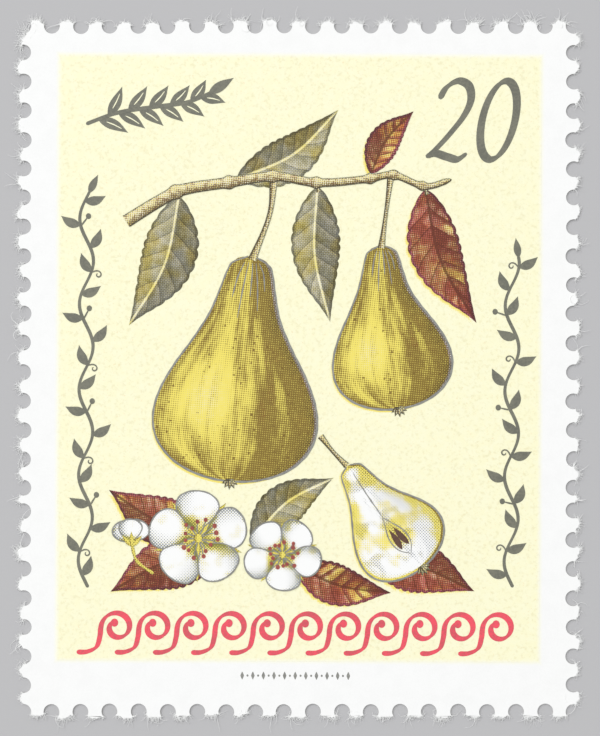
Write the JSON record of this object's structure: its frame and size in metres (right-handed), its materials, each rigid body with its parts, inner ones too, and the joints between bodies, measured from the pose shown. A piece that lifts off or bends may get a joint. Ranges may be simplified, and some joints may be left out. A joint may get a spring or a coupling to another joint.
{
  "type": "postage stamp",
  "caption": "Flat rectangular perforated paper stamp with a printed panel on its face and a gummed back.",
  "frame": {"origin": "under the middle of the stamp, on the surface that its gummed back rests on", "axes": "+X to the stamp's right-hand edge, +Y to its top edge, +Z out of its printed face"},
  "size_m": [0.0276, 0.0342, 0.0001],
  "materials": {
    "paper": "coated white printing paper, matt, with torn fibres at the perforation teeth",
    "gum": "dried water-activated gum, pale and slightly glossy",
    "ink": "satin offset printing ink, a cream tint with halftoned colours over it"
  },
  "bodies": {
    "root": {"gum": "gum", "paper": "paper", "ink": "ink"}
  },
  "joints": []
}
